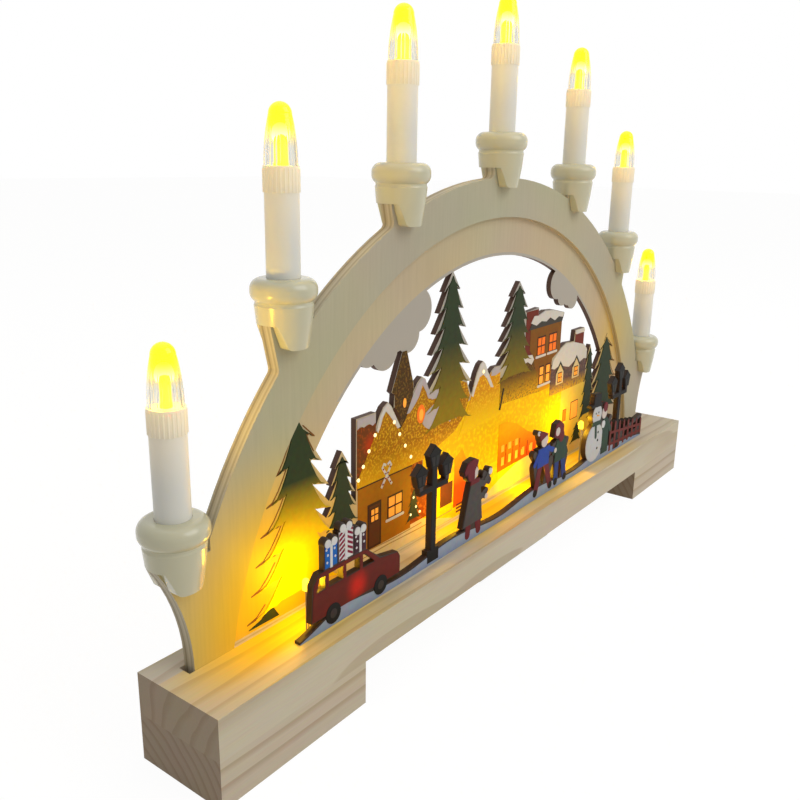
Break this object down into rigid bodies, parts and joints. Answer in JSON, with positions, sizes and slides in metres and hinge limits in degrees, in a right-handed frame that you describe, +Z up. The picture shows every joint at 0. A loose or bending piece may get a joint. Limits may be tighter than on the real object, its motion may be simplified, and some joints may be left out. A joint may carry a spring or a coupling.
{
  "type": "candle arch",
  "caption": "Wooden candle arch with electric candles on cups along its curve, a cut-out winter village scene and a strip of figures on a footed base.",
  "frame": {"origin": "under the middle of the base, on the surface that its feet stand on", "axes": "+X along the base to the viewer's right, +Y from the front with the figures to the back, +Z up"},
  "size_m": [0.4546, 0.0451, 0.3015],
  "materials": {
    "pine": "planed, unvarnished pine",
    "dowel": "smooth beech",
    "arch_plywood": "whitewashed plywood with bare edges",
    "scene_plywood": "printed plywood with scorched edges",
    "figure_plywood": "printed plywood with scorched edges",
    "cup": "glossy ivory",
    "shaft": "satin white",
    "collar": "translucent white",
    "flame": "clear, fluted",
    "led": "clear warm lens",
    "socket": "moulded",
    "lead": "smooth sleeve",
    "scene_lead": "thin sleeve",
    "box": "moulded, fine grain",
    "cell": "plain wrapped steel",
    "contact": "nickel-plated strip",
    "switch": "moulded",
    "slider": "moulded",
    "circuit": "solder mask",
    "screw": "zinc-plated"
  },
  "bodies": {
    "base": {"base_beam": "pine", "left_foot": "pine", "right_foot": "pine", "foot_dowels": "dowel", "arch_plate": "arch_plywood", "scene_board": "scene_plywood", "figure_strip": "figure_plywood", "candle_cup_1": "cup", "candle_shaft_1": "shaft", "candle_cup_2": "cup", "candle_shaft_2": "shaft", "candle_cup_3": "cup", "candle_shaft_3": "shaft", "candle_cup_4": "cup", "candle_shaft_4": "shaft", "candle_cup_5": "cup", "candle_shaft_5": "shaft", "candle_cup_6": "cup", "candle_shaft_6": "shaft", "candle_cup_7": "cup", "candle_shaft_7": "shaft", "lamp_sockets": "socket", "candle_leads": "lead", "scene_leads": "scene_lead", "scene_leds": "led", "battery_box": "box", "battery_cell_1": "cell", "battery_cell_2": "cell", "bridge_contact": "contact", "terminal_contacts": "contact", "switch_body": "switch", "circuit_board": "circuit", "box_screws": "screw"},
    "bulb_1": {"bulb_collar_1": "collar", "flame_cap_1": "flame", "bulb_led_1": "led"},
    "bulb_2": {"bulb_collar_2": "collar", "flame_cap_2": "flame", "bulb_led_2": "led"},
    "bulb_3": {"bulb_collar_3": "collar", "flame_cap_3": "flame", "bulb_led_3": "led"},
    "bulb_4": {"bulb_collar_4": "collar", "flame_cap_4": "flame", "bulb_led_4": "led"},
    "bulb_5": {"bulb_collar_5": "collar", "flame_cap_5": "flame", "bulb_led_5": "led"},
    "bulb_6": {"bulb_collar_6": "collar", "flame_cap_6": "flame", "bulb_led_6": "led"},
    "bulb_7": {"bulb_collar_7": "collar", "flame_cap_7": "flame", "bulb_led_7": "led"},
    "battery_cover": {"battery_cover": "box"},
    "switch_slider": {"switch_slider": "slider"}
  },
  "joints": [
    {"name": "bulb_1_pull", "type": "slide", "parent": "base", "child": "bulb_1", "axis": [0, 0, 1], "range_m": [0, 0.009]},
    {"name": "bulb_2_pull", "type": "slide", "parent": "base", "child": "bulb_2", "axis": [0, 0, 1], "range_m": [0, 0.009]},
    {"name": "bulb_3_pull", "type": "slide", "parent": "base", "child": "bulb_3", "axis": [0, 0, 1], "range_m": [0, 0.009]},
    {"name": "bulb_4_pull", "type": "slide", "parent": "base", "child": "bulb_4", "axis": [0, 0, 1], "range_m": [0, 0.009]},
    {"name": "bulb_5_pull", "type": "slide", "parent": "base", "child": "bulb_5", "axis": [0, 0, 1], "range_m": [0, 0.009]},
    {"name": "bulb_6_pull", "type": "slide", "parent": "base", "child": "bulb_6", "axis": [0, 0, 1], "range_m": [0, 0.009]},
    {"name": "bulb_7_pull", "type": "slide", "parent": "base", "child": "bulb_7", "axis": [0, 0, 1], "range_m": [0, 0.009]},
    {"name": "battery_cover_slide", "type": "slide", "parent": "base", "child": "battery_cover", "axis": [-1, 0, 0], "range_m": [0, 0.056]},
    {"name": "switch_slide", "type": "slide", "parent": "base", "child": "switch_slider", "axis": [0, 1, 0], "range_m": [0, 0.004]}
  ]
}
